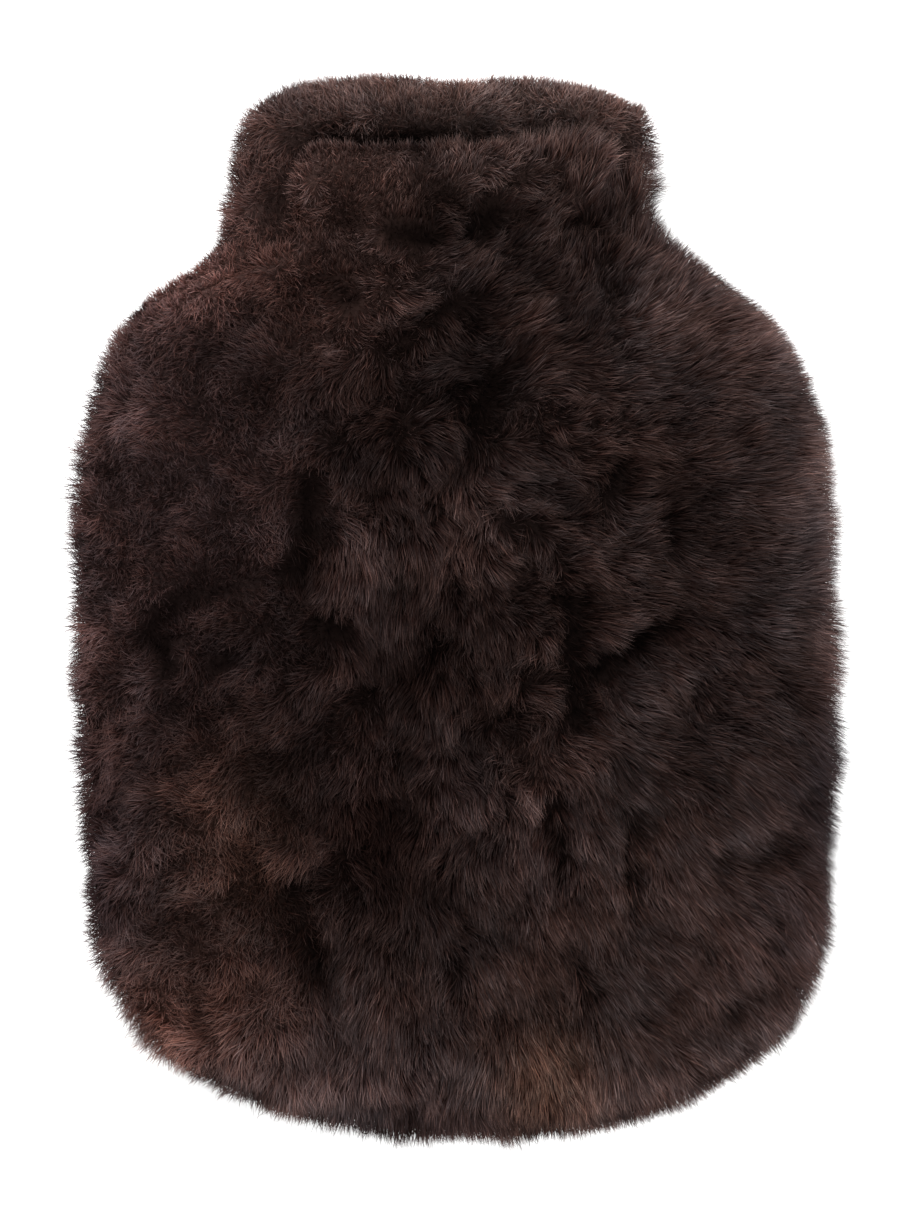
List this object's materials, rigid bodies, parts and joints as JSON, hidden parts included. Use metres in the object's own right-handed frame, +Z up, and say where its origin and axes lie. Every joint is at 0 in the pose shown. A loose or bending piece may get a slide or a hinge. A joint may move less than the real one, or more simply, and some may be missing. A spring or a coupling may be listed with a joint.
{
  "type": "hot water bottle cover",
  "caption": "Long-pile fur cover for a hot water bottle, lying on its back, with a rounded foot, a narrower neck and a slot mouth at the neck's end.",
  "frame": {"origin": "centre of the bounding box's bottom, on the surface that the cover lies on", "axes": "+Z up through the face, +Y along the cover towards the neck and its mouth, +X to the right when looking down on the face with the neck away from the viewer"},
  "size_m": [0.262, 0.3636, 0.0619],
  "materials": {
    "front_fur": "long soft pile, dark brown with lighter tips",
    "back_fur": "dense pressed pile, dark brown",
    "edge_fur": "loose tufts of pile, dark brown",
    "hide": "brushed suede, the flesh side of the pelt"
  },
  "bodies": {
    "root": {"front_panel": "front_fur", "back_panel": "back_fur", "rim_locks": "edge_fur", "mouth_locks": "edge_fur"}
  },
  "joints": []
}
